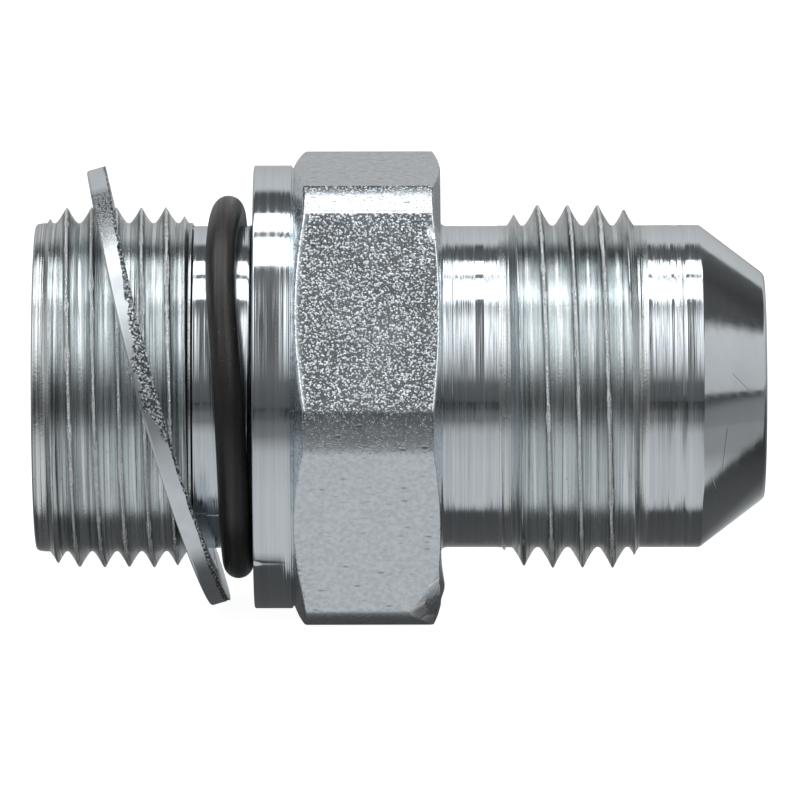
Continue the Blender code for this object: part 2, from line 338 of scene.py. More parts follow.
def middle_rings(columns):
    """From the stud neck over the collar and the hexagon to the flare neck."""
    skin_radius = hexagon_radius(columns)
    near_slope = math.tan(math.radians(NEAR_CHAMFER_ANGLE))
    near_chamfer = HEX_START + FACE_EDGE + (skin_radius - NEAR_FACE_RADIUS) * near_slope
    far_slope = math.tan(math.radians(FAR_CHAMFER_ANGLE))
    far_chamfer = HEX_END - (skin_radius - FAR_FACE_RADIUS) * far_slope
    # Close rings where the dent is cut, on the flats and then down the chamfer
    dented = [far_chamfer - 2.3 + 0.1 * step for step in range(22)]
    chamfer = [(far_chamfer + share * (HEX_END - far_chamfer),
                skin_radius + share * (FAR_FACE_RADIUS - skin_radius))
               for share in (0.3, 0.42, 0.54, 0.66, 0.78, 0.9)]
    rings = rounded([
        (STUD_THREAD_END, STUD_THREAD["root"], 0, "turned"),
        (STUD_THREAD_END + ROOT_STEP, NECK_RADIUS, 0.05, "turned"),
        *[(COLLAR_START - away, NECK_RADIUS + rise, 0, "turned")
          for away, rise in STUD_NECK_FILLET],
        (COLLAR_START, NECK_RADIUS + 0.36, 0, "faces"),
        (COLLAR_START, 11.6, 0, "faces"),
        (COLLAR_START, COLLAR_RADIUS - 0.3, 0, "faces"),
        (COLLAR_START, COLLAR_RADIUS, 0.14, "turned"),
        *[(COLLAR_START + step, COLLAR_RADIUS, 0, "turned") for step in (0.16, 0.28, 0.4, 0.6)],
        (COLLAR_END, COLLAR_RADIUS, 0.05, "turned"),
        (COLLAR_END + 0.03, COLLAR_RADIUS - 0.12, 0, "turned"),
        (HEX_START, NEAR_FACE_RADIUS, FACE_EDGE, "hexagon"),
        (near_chamfer, skin_radius, 0.16, "hexagon"),
        (near_chamfer + 0.6, skin_radius, 0, "hexagon"),
        *[(x, skin_radius, 0, "hexagon") for x in dented],
        (far_chamfer, skin_radius, 0.1, "hexagon"),
        *[(x, radius, 0, "hexagon") for x, radius in chamfer],
        (HEX_END, FAR_FACE_RADIUS, 0.1, "faces"),
        (HEX_END, 11.8, 0, "faces"),
        (HEX_END, FLARE_NECK_RADIUS + 0.35, 0, "turned"),
        *[(HEX_END + away, FLARE_NECK_RADIUS + rise, 0, "turned")
          for away, rise in FLARE_NECK_FILLET],
        (FLARE_THREAD_START - ROOT_STEP, FLARE_NECK_RADIUS, 0.05, "turned"),
        (FLARE_THREAD_START, FLARE_THREAD["root"], 0, "turned"),
    ])
    worn = [(x, worn_radius(x, columns, radius), finish) for x, radius, finish in rings]
    return [(pushed_out(x, columns, radius), radius, finish) for x, radius, finish in worn]


def nose_rings():
    """From the flare thread over the land, the cone and the nose into the bore."""
    return rounded([
        (LAND_START - ROOT_STEP, FLARE_THREAD["root"], 0, "turned"),
        (LAND_START, LAND_RADIUS, 0.04, "turned"),
        (CONE_START, LAND_RADIUS, 0.12, "cone"),
        (BODY_LENGTH - 0.15, NOSE_RADIUS + 0.1, 0.12, "faces"),
        (BODY_LENGTH, NOSE_RADIUS - 0.1, 0.05, "faces"),
        (BODY_LENGTH, BORE_RADIUS + 0.2, 0.05, "faces"),
        (BODY_LENGTH - 0.2, BORE_RADIUS, 0.05, "bore"),
        (BODY_LENGTH - BORE_RING_DEPTH, BORE_RADIUS, 0, "bore"),
    ])


def body_skin():
    """The whole turned body as one closed skin."""
    skin = Skin()
    columns = column_angles()
    stud_first, stud_last = add_rings(skin, columns, stud_end_rings())
    middle_first, middle_last = add_rings(skin, columns, middle_rings(columns))
    nose_first, nose_last = add_rings(skin, columns, nose_rings())
    add_thread(skin, columns, stud_last, middle_first, **STUD_THREAD)
    add_thread(skin, columns, middle_last, nose_first, **FLARE_THREAD)
    skin.add_band(nose_last, stud_first, "bore")
    return skin


def to_cartesian(points):
    """Metres in the frame from (distance, angle, radius) in millimetres."""
    x, angle, radius = points.T
    return MM * np.column_stack([
        x - BODY_LENGTH / 2, radius * np.cos(angle), AXIS_HEIGHT + radius * np.sin(angle)])


# Pieces

def add_piece(name, points, faces, materials, face_materials, sharp_angle):
    """A smooth-shaded object whose edges stay sharp above an angle in degrees."""
    mesh = bpy.data.meshes.new(name)
    mesh.from_pydata(points.tolist(), [], faces)
    mesh.polygons.foreach_set("material_index", face_materials)
    for item in materials:
        mesh.materials.append(item)
    bm = bmesh.new()
    bm.from_mesh(mesh)
    bmesh.ops.recalc_face_normals(bm, faces=bm.faces)
    bm.to_mesh(mesh)
    bm.free()
    mesh.shade_smooth()
    mesh.set_sharp_from_angle(angle=math.radians(sharp_angle))
    piece = bpy.data.objects.new(name, mesh)
    bpy.context.scene.collection.objects.link(piece)
    return piece


def make_body(materials):
    """Turned and cold-formed body, with the materials in the order of FINISHES."""
    skin = body_skin()
    x, angle, radius = skin.points().T
    on_floor = abs(radius - dent_floor(x, angle)) < DENT_TOLERANCE
    indices = []
    for face, finish in zip(skin.faces, skin.face_finishes):
        if finish == "hexagon" and on_floor[list(face)].all():
            finish = "dented"
        indices.append(FINISHES.index(finish))
    body = add_piece("adapter_body", to_cartesian(skin.points()), skin.faces, materials,
                     indices, 50)
    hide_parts("connector_body")
    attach(body, "root")


# O-ring: its middle line wanders along the neck, measured at eight places round the axis
O_RING_LINE_RADIUS = 10.67
O_RING_THICKNESS_RADIUS = 0.91
O_RING_STATIONS = (12.26, 11.90, 11.66, 11.28, 11.72, 12.06, 12.22, 12.28)
O_RING_FIRST_ANGLE = -10.8
O_RING_GAP = 0.01


def o_ring_line(angle):
    """Distance from the stud's face, as a smooth closed curve through the stations."""
    count = len(O_RING_STATIONS)
    waves = np.fft.rfft(O_RING_STATIONS) / count
    turned = angle - math.radians(O_RING_FIRST_ANGLE)
    total = waves[0].real + 0 * turned
    for order in range(1, len(waves)):
        weight = 1 if order == count // 2 else 2
        total = total + weight * (waves[order] * np.exp(1j * order * turned)).real
    return total


def make_o_ring(rubber):
    """Rubber ring that leans on the collar and the neck without going into them."""
    around, across = 240, 28
    angle = np.arange(around)[:, None] * math.tau / around
    section = np.arange(across)[None, :] * math.tau / across
    size = O_RING_THICKNESS_RADIUS * (1 + 0.006 * noise(angle, 0, 5))
    x = np.minimum(o_ring_line(angle) + size * np.cos(section), COLLAR_START - O_RING_GAP)
    radius = np.maximum(O_RING_LINE_RADIUS + size * np.sin(section), NECK_RADIUS + O_RING_GAP)
    skin = Skin()
    rings = skin.add_points(x, angle, radius)
    for step in range(around):
        skin.add_band(rings[step], rings[(step + 1) % around], "rubber")
    o_ring = add_piece("rubber_o_ring", to_cartesian(skin.points()), skin.faces, [rubber],
                       [0] * len(skin.faces), 80)
    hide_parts("o_ring")
    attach(o_ring, "root")


# Retaining ring, in its own frame: X along its own axis, towards the collar
RING_CENTRE = 7.11
RING_TILT = -15.6
RING_YAW = 3.26
RING_BEND = 0.58
RING_INNER_RADIUS = 11.6
RING_OUTER_RADIUS = 13.67
RING_HALF_THICKNESS = 0.575
# Share of the edge that tore off in shearing, at angles round the ring
TORN_ANGLES = (0, 60, 98, 110, 116, 128, 138, 150, 157, 161, 172, 178, 184, 214, 220, 250, 300, 360)
TORN_SHARES = (0.4, 0.3, 0.04, 0.04, 0.14, 0.14, 0.24, 0.38, 0.52, 0.8, 0.84, 0.55, 0.13, 0.12,
               0.2, 0.2, 0.45, 0.4)


def make_retaining_ring(materials):
    """Sheared ring, slightly sprung: rolled edge towards the stud, torn edge towards the collar."""
    around, torn_steps = 640, 7
    angle = np.arange(around) * math.tau / around
    half, outer = RING_HALF_THICKNESS, RING_OUTER_RADIUS
    rough = np.random.default_rng(5).normal(size=(torn_steps + 1, around))
    ragged = 0.05 * noise(7 * angle, 0.3, 2) + 0.02 * rough[0]
    torn = np.interp(np.degrees(angle), TORN_ANGLES, TORN_SHARES)
    shear_line = half - 2 * half * np.maximum(torn * (1 + ragged / 0.2), 0.03)
    section = [
        (half, RING_INNER_RADIUS + 0.08),
        (half - 0.08, RING_INNER_RADIUS),
        (-half + 0.08, RING_INNER_RADIUS),
        (-half, RING_INNER_RADIUS + 0.08),
        (-half, outer - 0.15),
        (-half + 0.02, outer - 0.08),
        (-half + 0.06, outer - 0.025),
        (-half + 0.13, outer),
        (-half + 0.17, outer),
        (shear_line - 0.03, outer + 0 * angle),
        (shear_line, outer + 0 * angle),
    ]
    smooth_bands = len(section) - 1
    for step in range(1, torn_steps + 1):
        share = step / torn_steps
        depth = 0.055 * math.sin(math.pi * share) ** 0.5 + 0.02 * rough[step] * (share < 1)
        section.append((shear_line + share * (half - shear_line), outer - depth))
    burr = 0.03 + 0.012 * abs(rough[1])
    section += [(half + burr, outer - 0.02), (half + 0.6 * burr, outer - 0.06),
                (half, outer - 0.12)]
    skin = Skin()
    rings = [skin.add_points(x, angle, radius) for x, radius in section]
    for place, ring in enumerate(rings):
        following = rings[(place + 1) % len(rings)]
        skin.add_band(ring, following, 1 if smooth_bands <= place < len(rings) - 2 else 0)
    x, turned, radius = skin.points().T
    across, above = radius * np.cos(turned), radius * np.sin(turned)
    sprung = x + RING_BEND * ((above / outer) ** 2 - 0.5)
    points = MM * np.column_stack([sprung, across, above])
    ring = add_piece("loose_retaining_ring", points, skin.faces, materials, skin.face_finishes, 40)
    ring.location = (MM * (RING_CENTRE - BODY_LENGTH / 2), 0, MM * AXIS_HEIGHT)
    ring.rotation_euler = (0, math.radians(RING_TILT), math.radians(RING_YAW))
    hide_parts("retaining_ring")
    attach(ring, "root")


# Shader helpers

def add_node(tree, kind, *values, settings=None, **named):
    """A shader node with its settings made and its inputs filled in or linked."""
    item = tree.nodes.new("ShaderNode" + kind)
    for name, value in (settings or {}).items():
        setattr(item, name, value)
    for place, value in enumerate(values):
        fill(tree, item.inputs[place], value)
    for name, value in named.items():
        fill(tree, item.inputs[name.replace("_", " ")], value)
    return item


def fill(tree, socket, value):
    """Link another node's result to the socket, or put a constant on it."""
    if isinstance(value, bpy.types.NodeSocket):
        tree.links.new(value, socket)
    else:
        socket.default_value = value


def math_node(tree, operation, *values, clamp=False):
    settings = {"operation": operation, "use_clamp": clamp}
    return add_node(tree, "Math", *values, settings=settings).outputs[0]


def multiply(tree, first, second):
    return math_node(tree, "MULTIPLY", first, second)


def mix_colour(tree, share, first, second):
    """The first colour where the share is nought, and the second where it is one."""
    item = tree.nodes.new("ShaderNodeMix")
    item.data_type = "RGBA"
    for place, value in ((0, share), (6, first), (7, second)):
        fill(tree, item.inputs[place], value)
    return item.outputs[2]


def stretch(tree, value, low, high, to_low, to_high):
    """The value from one range moved into another, and held inside it."""
    return add_node(tree, "MapRange", value, low, high, to_low, to_high).outputs[0]


def noise_texture(tree, place, scale=1.0, detail=2.0, roughness=0.5):
    return add_node(tree, "TexNoise", Vector=place, Scale=scale, Detail=detail,
                    Roughness=roughness).outputs[0]


def add_ramp(tree, value, stops, low, high):
    """Grey levels at given values between low and high."""
    ramp = add_node(tree, "ValToRGB", stretch(tree, value, low, high, 0, 1))
    elements = ramp.color_ramp.elements
    for index, (place, level) in enumerate(stops):
        share = (place - low) / (high - low)
        element = elements[index] if index < 2 else elements.new(share)
        element.position = share
        element.color = (level, level, level, 1)
    return ramp.outputs[0]


def new_group(name, inputs, outputs):
    """An empty shader group with number sockets, whose inputs have a usual value each."""
    group = bpy.data.node_groups.new(name, "ShaderNodeTree")
    for title, value in inputs.items():
        socket = group.interface.new_socket(title, in_out="INPUT", socket_type="NodeSocketFloat")
        socket.default_value = value
    for title in outputs:
        group.interface.new_socket(title, in_out="OUTPUT", socket_type="NodeSocketFloat")
    return group, group.nodes.new("NodeGroupInput"), group.nodes.new("NodeGroupOutput")


def use_group(tree, group, **values):
    """The group placed in a material, with values of its own."""
    item = tree.nodes.new("ShaderNodeGroup")
    item.node_tree = group
    for name, value in values.items():
        fill(tree, item.inputs[name.replace("_", " ")], value)
    return item


def millimetres(tree):
    """Object coordinates in millimetres."""
    place = add_node(tree, "TexCoord").outputs["Object"]
    return add_node(tree, "VectorMath", place, (1000, 1000, 1000),
                    settings={"operation": "MULTIPLY"}).outputs[0]


def split(tree, vector):
    """The three parts of a vector."""
    return add_node(tree, "SeparateXYZ", vector).outputs


# Shared effects

def turning_marks_group():
    """Lines that a tool leaves round the axis, cut deeper in some bands than in others."""
    group, given, result = new_group(
        "turning_marks", {"Coarse": 3.0, "Fine": 8.0, "Wander": 0.035}, ("Height", "Streak"))
    x, y, z = split(group, millimetres(group))
    around_y = multiply(group, y, given.outputs["Wander"])
    around_z = multiply(group, z, given.outputs["Wander"])
    lines = []
    for title, seed in (("Coarse", 3.1), ("Fine", 17.7)):
        along = math_node(group, "MULTIPLY_ADD", x, given.outputs[title], seed)
        spot = add_node(group, "CombineXYZ", along, around_y, around_z).outputs[0]
        lines.append(noise_texture(group, spot, detail=3.0, roughness=0.6))
    coarse, fine = lines
    spot = add_node(group, "CombineXYZ", math_node(group, "MULTIPLY_ADD", x, 1.1, 5.3)).outputs[0]
    bands = noise_texture(group, spot, detail=1.0)
    cut = stretch(group, bands, 0.4, 0.62, 0.25, 1.3)
    height = multiply(group, math_node(group, "MULTIPLY_ADD", fine, 0.6, coarse), cut)
    streak = math_node(group, "MULTIPLY_ADD", fine, 0.5, multiply(group, coarse, 0.5))
    group.links.new(height, result.inputs["Height"])
    group.links.new(stretch(group, streak, 0.36, 0.64, 0, 1), result.inputs["Streak"])
    return group


def plating_mottle_group():
    """Slow clouds and small flecks in the plating."""
    group, given, result = new_group(
        "plating_mottle", {"Cloud Size": 3.0, "Fleck Size": 0.25}, ("Cloud", "Fleck"))
    place = millimetres(group)
    for title, detail in (("Cloud", 3.0), ("Fleck", 2.0)):
        scale = math_node(group, "DIVIDE", 1.0, given.outputs[title + " Size"])
        spots = noise_texture(group, place, scale, detail)
        group.links.new(stretch(group, spots, 0.35, 0.65, 0, 1), result.inputs[title])
    return group


def pits_group():
    """Scattered small pits, drawn out along the axis: a mask that is one inside them."""
    group, given, result = new_group(
        "pits", {"Spacing": 0.9, "Radius": 0.12, "Share": 0.4, "Stretch": 1.0}, ("Pit",))
    shortened = math_node(group, "DIVIDE", 1.0, given.outputs["Stretch"])
    drawn_out = add_node(group, "CombineXYZ", shortened, 1.0, 1.0).outputs[0]
    place = add_node(group, "VectorMath", millimetres(group), drawn_out,
                     settings={"operation": "MULTIPLY"}).outputs[0]
    scale = math_node(group, "DIVIDE", 1.0, given.outputs["Spacing"])
    cells = add_node(group, "TexVoronoi", Vector=place, Scale=scale)
    lot = add_node(group, "SeparateColor", cells.outputs["Color"]).outputs[0]
    chosen = math_node(group, "LESS_THAN", lot, given.outputs["Share"])
    reach = multiply(group, given.outputs["Radius"], scale)
    outward = math_node(group, "DIVIDE", cells.outputs["Distance"], reach)
    inside = math_node(group, "SUBTRACT", 1.0, outward, clamp=True)
    group.links.new(multiply(group, inside, chosen), result.inputs["Pit"])
    return group


def grain_group():
    """Sugary grain of a cold-formed and plated face: raised specks on a smooth ground."""
    group, given, result = new_group("grain", {"Size": 0.3, "Ground": 0.0}, ("Height",))
    place = millimetres(group)
    scale = math_node(group, "DIVIDE", 1.0, given.outputs["Size"])
    coarse = noise_texture(group, place, scale, detail=2.5, roughness=0.65)
    cells = add_node(group, "TexVoronoi", Vector=place, Scale=multiply(group, scale, 1.3),
                     settings={"feature": "SMOOTH_F1"})
    height = math_node(group, "MULTIPLY_ADD", cells.outputs["Distance"], -0.6, coarse)
    height = math_node(group, "MAXIMUM", height, given.outputs["Ground"])
    group.links.new(height, result.inputs["Height"])
    return group


def scratch_group():
    """One short scratch on the front, about upright: a mask that is one along its line."""
    group, given, result = new_group(
        "scratch", {"Station": 0.0, "Height": 0.0, "Reach": 1.0, "Lean": 0.0, "Width": 0.05},
        ("Mask",))
    x, y, z = split(group, millimetres(group))
    above = math_node(group, "SUBTRACT", z, given.outputs["Height"])
    line = math_node(group, "MULTIPLY_ADD", above, given.outputs["Lean"], given.outputs["Station"])
    aside = math_node(group, "ABSOLUTE", math_node(group, "SUBTRACT", x, line))
    outward = math_node(group, "DIVIDE", aside, given.outputs["Width"])
    across = math_node(group, "SUBTRACT", 1.0, outward, clamp=True)
    height = math_node(group, "ABSOLUTE", above)
    along = math_node(group, "LESS_THAN", height, given.outputs["Reach"])
    front = math_node(group, "LESS_THAN", y, 0.0)
    mask = multiply(group, multiply(group, across, along), front)
    group.links.new(mask, result.inputs["Mask"])
    return group


def axis_distance_group():
    """Distance from the fitting's axis, and along it from the middle, in millimetres."""
    group, _, result = new_group("axis_distance", {}, ("Radius", "Station"))
    x, across, z = split(group, millimetres(group))
    above = math_node(group, "SUBTRACT", z, AXIS_HEIGHT)
    squares = math_node(group, "MULTIPLY_ADD", across, across, multiply(group, above, above))
    group.links.new(math_node(group, "SQRT", squares), result.inputs["Radius"])
    group.links.new(x, result.inputs["Station"])
    return group


TURNING = turning_marks_group()
MOTTLE = plating_mottle_group()
PITS = pits_group()
GRAIN = grain_group()
SCRATCH = scratch_group()
AXIS_DISTANCE = axis_distance_group()


# Finishes

BLACK = (0, 0, 0, 1)
WHITE = (1, 1, 1, 1)
ZINC = (0.71, 0.77, 0.815, 1)
ZINC_DARK = (0.57, 0.625, 0.67, 1)
ZINC_BRIGHT = (0.79, 0.85, 0.89, 1)
THREAD_TINT = (0.86, 0.91, 0.925, 1)
CREST_TINT = (0.94, 0.97, 0.98, 1)
# Dark colour for grime in the scored lines and for painted shade on the threads
GRIME_AND_SHADE = (0.30, 0.33, 0.34, 1)
# Painted shade for the strips beside the thread crests high up
PAINTED_SHADE = (0.06, 0.07, 0.07, 1)
# Scratches by station from the middle, height over the table, and reach, lean and width
CONE_SCRATCHES = (dict(Station=20.3, Height=15.2, Reach=0.5, Lean=-0.9, Width=0.03),
                  dict(Station=19.4, Height=11.2, Reach=1.3, Lean=0.1, Width=0.025),
                  dict(Station=18.9, Height=8.6, Reach=0.9, Lean=-0.3, Width=0.03))
HEXAGON_SCRATCH = dict(Station=-2.05, Height=13.6, Reach=0.85, Lean=0.06, Width=0.05)
# Heights over the table between which the painted shade in the strips beside the thread crests
# deepens, and between which the painted shade high on the threads comes and goes
STRIP_SHADES = (17.0, 22.5)
HIGH_SHADE_COMES, HIGH_SHADE_GOES = (20.4, 22.0), (22.5, 22.9)
# Heights over the loose ring's own middle between which its scuffing comes and goes
SCUFF_COMES, SCUFF_GOES = (9.6, 12.2), (13.0, 13.25)
# Stations between which the turning marks grow from the stud's side to the flare's
TURNING_GROWS = (-7, -2)


def new_material(name, **constants):
    """A material with its Principled shader, whose constants sit on its own sockets."""
    finish = bpy.data.materials.new(name)
    finish.use_nodes = True
    shader = finish.node_tree.nodes["Principled BSDF"]
    for title, value in constants.items():
        shader.inputs[title.replace("_", " ")].default_value = value
    return finish, finish.node_tree, shader


def feed(tree, shader, **sources):
    """Link what changes over the surface to the shader's sockets."""
    for title, source in sources.items():
        tree.links.new(source, shader.inputs[title.replace("_", " ")])


def add_bump(tree, shader, height, depth):
    """Feed a height into the shader's normal, as a relief of so many millimetres."""
    bump = add_node(tree, "Bump", Strength=1.0, Distance=depth * MM, Height=height)
    tree.links.new(bump.outputs[0], shader.inputs["Normal"])


def turned_zinc():
    """Bluish zinc over lathe-turned steel, finished more finely on the stud's side."""
    finish, tree, shader = new_material("turned_zinc", Metallic=1.0)
    lines = use_group(tree, TURNING)
    cloud = use_group(tree, MOTTLE).outputs["Cloud"]
    streak = lines.outputs["Streak"]
    tint = mix_colour(tree, stretch(tree, streak, 0, 1, 0.4, 0.95), ZINC_DARK, ZINC_BRIGHT)
    worn = stretch(tree, math_node(tree, "POWER", streak, 3.0), 0, 1, 0.06, 0.2)
    roughness = math_node(tree, "MULTIPLY_ADD", cloud, 0.03, worn)
    feed(tree, shader, Base_Color=tint, Roughness=roughness)
    station = use_group(tree, AXIS_DISTANCE).outputs["Station"]
    cut = stretch(tree, station, *TURNING_GROWS, 0.25, 1.0)
    add_bump(tree, shader, multiply(tree, lines.outputs["Height"], cut), 0.085)
    return finish


def cone_zinc():
    """Smooth ground cone with a few scuffs."""
    finish, tree, shader = new_material("cone_zinc", Metallic=1.0)
    lines = use_group(tree, TURNING, Coarse=2.0, Fine=7.0)
    mottle = use_group(tree, MOTTLE, Cloud_Size=2.0, Fleck_Size=0.4)
    marks = 0.0
    for scratch in CONE_SCRATCHES:
        marks = math_node(tree, "ADD", marks, use_group(tree, SCRATCH, **scratch).outputs["Mask"])
    tint = mix_colour(tree, mottle.outputs["Cloud"], ZINC_BRIGHT, (0.84, 0.90, 0.94, 1))
    tint = mix_colour(tree, multiply(tree, marks, 0.5), tint, (0.4, 0.42, 0.45, 1))
    roughness = stretch(tree, mottle.outputs["Fleck"], 0, 1, 0.09, 0.14)
    feed(tree, shader, Base_Color=tint, Roughness=roughness)
    height = math_node(tree, "MULTIPLY_ADD", marks, -3.0, lines.outputs["Height"])
    add_bump(tree, shader, height, 0.002)
    return finish


def thread_zinc():
    """Zinc over rolled threads: scored flanks with grime in the lines, smeared speckled crests,
    painted shade in the strips beside the crests, and painted shade high up.
    """
    finish, tree, shader = new_material("thread_zinc", Metallic=1.0)
    lines = use_group(tree, TURNING, Coarse=3.4, Fine=8.0, Wander=0.02)
    mottle = use_group(tree, MOTTLE, Cloud_Size=1.2, Fleck_Size=0.12)
    place = use_group(tree, AXIS_DISTANCE)
    above = split(tree, millimetres(tree))[2]
    streak = lines.outputs["Streak"]

    def by_thread(on_stud, on_flare):
        return stretch(tree, place.outputs["Station"], -1, 1, on_stud, on_flare)

    # The crest with its smears, and the strips just below it, darkened with painted shade
    crest_radius = by_thread(STUD_THREAD["crest"], FLARE_THREAD["crest"])
    below = math_node(tree, "SUBTRACT", crest_radius, place.outputs["Radius"])
    smear = stretch(tree, mottle.outputs["Cloud"], 0.55, 1.0, 0.0, 0.14)
    crest = stretch(tree, math_node(tree, "SUBTRACT", below, smear), 0.06, 0.14, 1, 0)
    painted_shade_strip = multiply(tree, stretch(tree, below, 0.1, 0.16, 0, 0.85),
                     stretch(tree, below, 0.24, 0.45, 1, 0))
    painted_shade_strip_high = multiply(tree, painted_shade_strip, stretch(tree, above, *STRIP_SHADES, 0, 1))
    # Grime in the scored lines, and a painted shade high up that is stronger on the flare thread
    scored = multiply(tree, stretch(tree, streak, 0.2, 0.5, 0.8, 0.0), by_thread(1.0, 0.5))
    painted_high_shade = multiply(tree, stretch(tree, above, *HIGH_SHADE_COMES, 0, 1),
                    stretch(tree, above, *HIGH_SHADE_GOES, 1, 0.35))
    painted_high_shade = multiply(tree, painted_high_shade, by_thread(0.25, 0.75))
    speck = use_group(tree, PITS, Spacing=0.55, Radius=0.07, Share=0.3).outputs["Pit"]
    # Real grime in the scored lines and painted shade in the strips beside the crests take one dark
    # colour
    tint = mix_colour(tree, math_node(tree, "MAXIMUM", scored, painted_shade_strip), THREAD_TINT, GRIME_AND_SHADE)
    # Painted shade deepens in the strips beside the crests higher over the table
    tint = mix_colour(tree, painted_shade_strip_high, tint, PAINTED_SHADE)
    # Painted shade high up on the threads, by height over the table
    tint = mix_colour(tree, painted_high_shade, tint, GRIME_AND_SHADE)
    tint = mix_colour(tree, speck, tint, (0.05, 0.05, 0.05, 1))
    tint = mix_colour(tree, crest, tint, CREST_TINT)
    worn = stretch(tree, math_node(tree, "POWER", streak, 2.0), 0, 1, 0.12, 0.32)
    roughness = math_node(tree, "MULTIPLY_ADD", crest, 0.05, worn)
    feed(tree, shader, Base_Color=tint, Roughness=roughness)
    flecks = multiply(tree, stretch(tree, crest, 0, 1, 0.03, 0.4), mottle.outputs["Fleck"])
    add_bump(tree, shader, math_node(tree, "ADD", flecks, lines.outputs["Height"]), 0.15)
    return finish


def hexagon_zinc():
    """Zinc over the drawn and grained flats."""
    finish, tree, shader = new_material("hexagon_zinc", Metallic=1.0)
    mottle = use_group(tree, MOTTLE, Cloud_Size=4.0, Fleck_Size=0.3)
    grain = use_group(tree, GRAIN, Size=0.165, Ground=0.3).outputs["Height"]
    pit = use_group(tree, PITS, Spacing=0.5, Radius=0.11, Share=0.5, Stretch=2.6).outputs["Pit"]
    dash = use_group(tree, PITS, Spacing=0.3, Radius=0.06, Share=0.6, Stretch=4.0).outputs["Pit"]
    scratch = use_group(tree, SCRATCH, **HEXAGON_SCRATCH).outputs["Mask"]
    fleck = stretch(tree, mottle.outputs["Fleck"], 0, 1, 0.2, 0.8)
    tint = mix_colour(tree, fleck, ZINC_DARK, ZINC_BRIGHT)
    tint = mix_colour(tree, pit, tint, (0.25, 0.28, 0.30, 1))
    tint = mix_colour(tree, multiply(tree, dash, 0.5), tint, (0.2, 0.22, 0.24, 1))
    tint = mix_colour(tree, multiply(tree, scratch, 0.6), tint, WHITE)
    roughness = stretch(tree, mottle.outputs["Cloud"], 0, 1, 0.14, 0.2)
    feed(tree, shader, Base_Color=tint, Roughness=roughness)
    height = math_node(tree, "MULTIPLY_ADD", pit, -0.4, grain)
    add_bump(tree, shader, math_node(tree, "ADD", height, scratch), 0.055)
    return finish


def dented_zinc():
    """Zinc smeared in slanting streaks where the corner took a blow."""
    finish, tree, shader = new_material("dented_zinc", Metallic=1.0, Roughness=0.46)
    x, _, z = split(tree, millimetres(tree))
    across = math_node(tree, "MULTIPLY_ADD", z, 1.7, multiply(tree, x, -1.05))
    spot = add_node(tree, "CombineXYZ", across, multiply(tree, x, 0.25)).outputs[0]
    streaks = noise_texture(tree, spot, detail=3.0, roughness=0.55)
    tint = mix_colour(tree, stretch(tree, streaks, 0.4, 0.6, 0, 1), (0.5, 0.52, 0.55, 1), WHITE)
    feed(tree, shader, Base_Color=tint)
    add_bump(tree, shader, streaks, 0.25)
    return finish


def face_zinc():
    """Zinc over faced ends and shoulders."""
    finish, tree, shader = new_material("face_zinc", Metallic=1.0)
    radius = use_group(tree, AXIS_DISTANCE).outputs["Radius"]
    cloud = use_group(tree, MOTTLE, Cloud_Size=2.0).outputs["Cloud"]
    spot = add_node(tree, "CombineXYZ", multiply(tree, radius, 5.0)).outputs[0]
    rings = noise_texture(tree, spot, detail=4.0, roughness=0.7)
    feed(tree, shader, Base_Color=mix_colour(tree, cloud, ZINC_DARK, ZINC),
         Roughness=stretch(tree, rings, 0.3, 0.7, 0.2, 0.4))
    add_bump(tree, shader, rings, 0.03)
    return finish


def bore_zinc():
    """Darker zinc down the drilled bore, streaked along its turning lines."""
    finish, tree, shader = new_material("bore_zinc", Metallic=1.0)
    lines = use_group(tree, TURNING, Coarse=1.2, Fine=6.0)
    streak = lines.outputs["Streak"]
    tint = mix_colour(tree, streak, (0.20, 0.22, 0.23, 1), (0.38, 0.41, 0.43, 1))
    feed(tree, shader, Base_Color=tint, Roughness=stretch(tree, streak, 0, 1, 0.3, 0.5))
    add_bump(tree, shader, lines.outputs["Height"], 0.04)
    return finish


def black_rubber():
    """Satin nitrile, brownish where it is stretched, with streaks along it and a little dust."""
    finish, tree, shader = new_material("black_rubber", Specular_IOR_Level=0.5)
    streaks = use_group(tree, TURNING, Coarse=1.6, Fine=4.0, Wander=0.03).outputs["Streak"]
    mottle = use_group(tree, MOTTLE, Cloud_Size=4.0, Fleck_Size=0.15)
    dust = use_group(tree, PITS, Spacing=0.9, Radius=0.07, Share=0.25).outputs["Pit"]
    cloud = stretch(tree, mottle.outputs["Cloud"], 0, 1, 0, 0.6)
    tint = mix_colour(tree, streaks, (0.018, 0.016, 0.016, 1), (0.055, 0.048, 0.044, 1))
    tint = mix_colour(tree, cloud, tint, (0.016, 0.015, 0.015, 1))
    tint = mix_colour(tree, multiply(tree, dust, 0.7), tint, (0.4, 0.4, 0.39, 1))
    feed(tree, shader, Base_Color=tint, Roughness=stretch(tree, streaks, 0, 1, 0.42, 0.24))
    height = math_node(tree, "MULTIPLY_ADD", streaks, 2.0, mottle.outputs["Fleck"])
    add_bump(tree, shader, height, 0.008)
    return finish


def burnished_steel():
    """Smooth sheared band of the retaining ring, scuffed along its upper part."""
    finish, tree, shader = new_material("burnished_steel", Metallic=1.0)
    mottle = use_group(tree, MOTTLE, Cloud_Size=1.0, Fleck_Size=0.08)
    fleck = mottle.outputs["Fleck"]
    above = split(tree, millimetres(tree))[2]
    scuffed = multiply(tree, stretch(tree, above, *SCUFF_COMES, 0, 1),
                       stretch(tree, above, *SCUFF_GOES, 1, 0))
    rubbed = multiply(tree, stretch(tree, fleck, 0.25, 0.7, 1, 0.3), scuffed)
    tint = mix_colour(tree, mottle.outputs["Cloud"], ZINC, ZINC_BRIGHT)
    tint = mix_colour(tree, rubbed, tint, (0.035, 0.04, 0.045, 1))
    feed(tree, shader, Base_Color=tint, Roughness=stretch(tree, fleck, 0, 1, 0.28, 0.34))
    add_bump(tree, shader, multiply(tree, fleck, scuffed), 0.03)
    return finish


